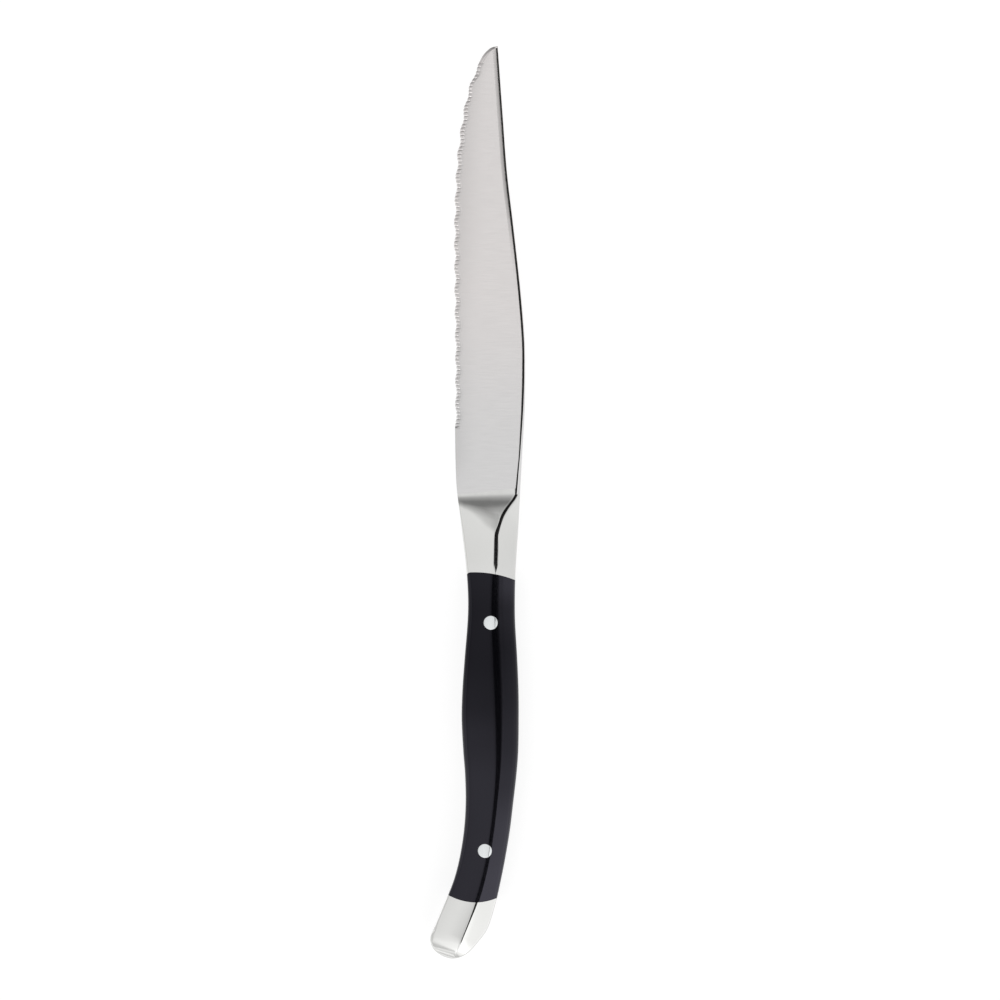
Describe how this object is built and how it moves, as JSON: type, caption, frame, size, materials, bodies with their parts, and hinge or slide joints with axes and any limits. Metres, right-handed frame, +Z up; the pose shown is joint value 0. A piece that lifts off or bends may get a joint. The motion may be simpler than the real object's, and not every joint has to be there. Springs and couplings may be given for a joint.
{
  "type": "table steak knife",
  "caption": "Table knife with a scalloped serrated blade, full tang, metal bolsters at both ends of a gently curved black riveted handle.",
  "frame": {"origin": "middle of the bounding box on its underside, where the knife lies on a table", "axes": "+Y from the butt to the tip, -X to the cutting edge, +X to the spine, +Z up from the table; the left side of the knife, as held edge down with the tip ahead, faces +Z"},
  "size_m": [0.0244, 0.2352, 0.0102],
  "materials": {
    "blade_steel": "fine satin, ground flat",
    "bolster_steel": "polished",
    "black_plastic": "semi-gloss, moulded and buffed",
    "rivet_steel": "ground flush and polished",
    "dowel_steel": "as drawn"
  },
  "bodies": {
    "root": {"blade": "blade_steel", "front_bolster_left": "bolster_steel", "front_bolster_right": "bolster_steel", "scale_left": "black_plastic", "scale_right": "black_plastic", "rear_bolster_left": "bolster_steel", "rear_bolster_right": "bolster_steel", "front_rivet_tube": "rivet_steel", "front_rivet_post": "rivet_steel", "rear_rivet_tube": "rivet_steel", "rear_rivet_post": "rivet_steel", "front_dowel_1": "dowel_steel", "front_dowel_2": "dowel_steel", "rear_dowel_1": "dowel_steel", "rear_dowel_2": "dowel_steel"}
  },
  "joints": []
}
